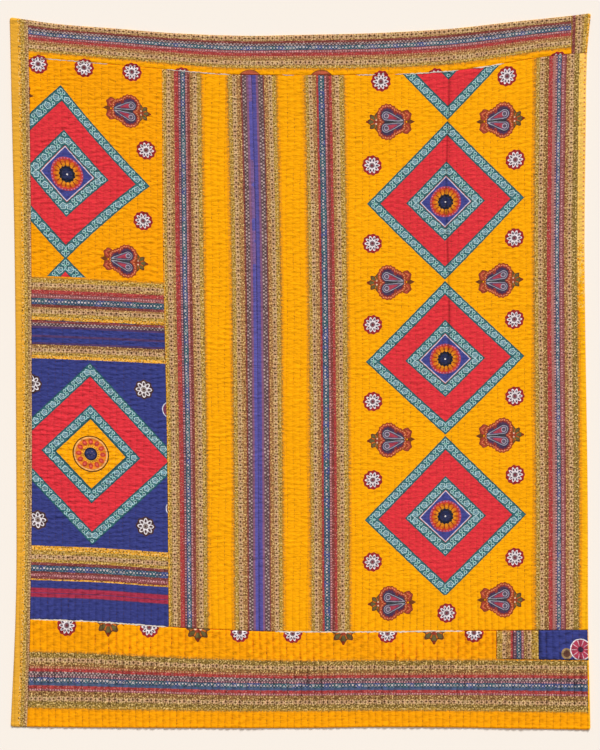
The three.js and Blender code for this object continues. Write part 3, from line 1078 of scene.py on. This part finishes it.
def print_places(cloth, reference):
    """Where each place of a cloth is on its print, which lies along the cloth's own edges."""
    across, along = reference

    def places(x, y):
        u = (x - cloth.west(y)) / (cloth.east(y) - cloth.west(y))
        whole = np.minimum(x, cloth.notch)
        v = (y - cloth.low(x)) / (cloth.high(whole) - cloth.low(x))
        west, east = cloth.west(along), cloth.east(along)
        low, high = cloth.low(across), cloth.high(across)
        return west + u * (east - west), low + v * (high - low)

    return places


def plain_material(name, colour, roughness):
    """A matt material of one dye, a little uneven along the thread."""
    material, tree, shader = new_material(name)
    noise = tree.nodes.new("ShaderNodeTexNoise")
    feed(noise, {"Scale": 900.0})
    ramp = tree.nodes.new("ShaderNodeValToRGB")
    feed(ramp, {0: noise.outputs[0]})
    for element, tone in zip(ramp.color_ramp.elements, (0.8, 1.0)):
        element.color = linear([c * tone for c in colour])
    feed(shader, {"Base Color": ramp.outputs[0], "Roughness": roughness, "Specular IOR Level": 0.15})
    return material


# Running stitches: short loops of thread that dip into the cloth at both ends
THREAD_HALF = 0.3
THREAD_LIFT = 0.25
THREAD_SINK = 0.55
THREAD_COLOUR = (98, 62, 42)
STITCH_RINGS = (-1.0, -0.5, 0.5, 1.0)
STITCH_CLEAR = 4.0
STITCH_SEED = 100
STITCH_TURNS = np.radians((45, 135, 225, 315))


def tubes(name, places):
    """A mesh of closed tubes: the places are four points for each ring of each tube."""
    count, rings = places.shape[:2]
    one = []
    for here in range(0, 4 * rings - 4, 4):
        for side, after in ((0, 1), (1, 2), (2, 3), (3, 0)):
            one.append([here + side, here + 4 + side, here + 4 + after, here + after])
    one += [[0, 1, 2, 3], [4 * rings - 1 - side for side in range(4)]]
    starts = np.arange(count)[:, None, None] * rings * 4
    return mesh_object(name, places.reshape(-1, 3), (starts + np.array(one)).reshape(-1, 4).tolist())


def stitch_places(cloth):
    """Where the middle of each stitch on a cloth is."""
    low, high = cloth.bottom[:, 1].min(), cloth.top[:, 1].max()
    first = math.ceil(cloth.left[:, 0].min() / ROW_PITCH) - 1
    last = math.floor(cloth.right[:, 0].max() / ROW_PITCH) + 1
    line = np.arange(low, high, 1.0)
    found = []
    for row in range(first, last + 1):
        phase = ripple_phase(row * ROW_PITCH + wander(row * ROW_PITCH, line), line)
        phase = np.maximum.accumulate(phase)
        middles = np.arange(math.ceil(phase[0]), math.floor(phase[-1])) + 0.5
        y = np.interp(middles, phase, line)
        x = row * ROW_PITCH + wander(row * ROW_PITCH, y)
        found.append(np.stack([x, y], axis=-1))
    places = np.concatenate(found)
    return places[cloth.holds(places[:, 0], places[:, 1], STITCH_CLEAR)]


def stitches_of(cloth, seed):
    """All the stitches on one cloth, as one mesh of short tubes."""
    places = stitch_places(cloth)
    draw = np.random.default_rng(seed)
    count = len(places)
    half = STITCH_LENGTH / 2 * draw.uniform(0.75, 1.2, (count, 1))
    lean = draw.normal(0, 0.08, (count, 1))
    along = np.array(STITCH_RINGS)[None, :]
    x = places[:, :1] + draw.normal(0, 0.3, (count, 1)) + lean * half * along
    y = places[:, 1:] + half * along
    z = relief(x, y, cloth.pull) + THREAD_LIFT - THREAD_SINK * np.abs(along) ** 3
    sideways = x[..., None] + THREAD_HALF * np.cos(STITCH_TURNS)
    upward = z[..., None] + THREAD_HALF * np.sin(STITCH_TURNS)
    rings = np.stack([sideways, y[..., None] + 0 * sideways, upward], axis=-1)
    return tubes(cloth.name + "_stitches", rings)


# Undyed edges that peep out along the seams: cloth, its side, from where to where, and half width
SELVEDGES = (
    ("upper_left_panel", "top", -568.0, -506.0, 0.7), ("upper_left_panel", "top", -520.0, -420.0, 0.7),
    ("stripe_panel", "top", -298.0, -150.0, 0.8), ("diamond_panel", "top", -42.0, -10.0, 0.8),
    ("diamond_panel", "top", 122.0, 168.0, 1.0), ("diamond_panel", "top", 208.0, 352.0, 1.0),
    ("diamond_panel", "top", 380.0, 452.0, 1.4), ("blue_panel", "bottom", -592.0, -290.0, 1.5),
    ("diamond_panel", "bottom", -56.0, 362.0, 1.5),
)
SELVEDGE_STEP = 4.0
SELVEDGE_TAPER = 12.0  # how far from its ends a strip has its full width
SELVEDGE_LIFT = 1.7
SELVEDGE_THICK = 0.8
SELVEDGE_COLOUR = (240, 228, 214)


def selvedge(cloth, side, start, end, half, seed):
    """A narrow frayed strip along a seam."""
    x = np.arange(start, end, SELVEDGE_STEP)
    y = cloth.high(x) if side == "top" else cloth.low(x)
    ends = np.minimum(x - start, end - x)
    draw = np.random.default_rng(seed)
    half = half * draw.uniform(0.35, 1.3, x.shape) * np.clip(ends / SELVEDGE_TAPER, 0.1, 1)
    middle = y + draw.normal(0, 0.4, x.shape)
    top = SELVEDGE_LIFT + 0.6 * relief(x, y, cloth.pull) + 0.2 * waves(x, y, 40.0, seed)
    corners = [(middle - half, top), (middle + half, top)]
    corners += [(middle + half, top - SELVEDGE_THICK), (middle - half, top - SELVEDGE_THICK)]
    places = np.stack([np.stack([x, at, height], axis=-1) for at, height in corners], axis=1)
    return tubes(f"{cloth.name}_selvedge_{seed}", places[None])


thread = plain_material("thread", THREAD_COLOUR, 0.8)
undyed = plain_material("undyed_edge", SELVEDGE_COLOUR, 0.9)
for order, (name, (draw, ground, slot_name, hems, reference, step, pull)) in enumerate(CLOTHS.items()):
    cloth = Cloth(name, pull)
    piece = sheet_of(cloth, step, hems, print_places(cloth, reference))
    dye = Print(name + "_print", ground)
    draw(dye)
    dye.dress(piece, slot_name, pull)
    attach(piece, "root")
    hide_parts(name)
    stitches = stitches_of(cloth, STITCH_SEED + order)
    stitches.data.materials.append(thread)
    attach(stitches, "root")
    for seed, (owner, side, start, end, half) in enumerate(SELVEDGES):
        if owner == name:
            strip = selvedge(cloth, side, start, end, half, seed)
            strip.data.materials.append(undyed)
            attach(strip, "root")

# Floor
bpy.ops.mesh.primitive_plane_add(size=80)
floor = bpy.context.object
floor.name = "floor"
floor_material, _, floor_shader = new_material("floor")
feed(floor_shader, {"Base Color": (0.915, 0.85, 0.78, 1), "Roughness": 0.95})
floor.data.materials.append(floor_material)

# Light: a broad sun from the top right, and a pale sky
sun = bpy.data.lights.new("key", "SUN")
sun.energy = 3.5
sun.angle = math.radians(18)
sun_object = bpy.data.objects.new("key", sun)
sun_object.rotation_euler = (math.radians(-52), math.radians(21), 0)
bpy.context.collection.objects.link(sun_object)
world = bpy.data.worlds.new("fill")
bpy.context.scene.world = world
world.use_nodes = True
feed(world.node_tree.nodes["Background"], {"Color": (1, 0.97, 0.93, 1), "Strength": 0.4})
bpy.context.scene.view_settings.view_transform = "Standard"

# Camera straight above, as high as it must be to show this much of the floor
PICTURE_HEIGHT = 1.65
PICTURE_MIDDLE = (-0.0007, -0.0077)
camera = bpy.data.cameras.new("camera")
camera.lens = 85
camera.sensor_width = 36
camera_object = bpy.data.objects.new("camera", camera)
camera_object.location = (*PICTURE_MIDDLE, PICTURE_HEIGHT * camera.lens / camera.sensor_width)
bpy.context.collection.objects.link(camera_object)
bpy.context.scene.camera = camera_object

bpy.context.view_layer.update()
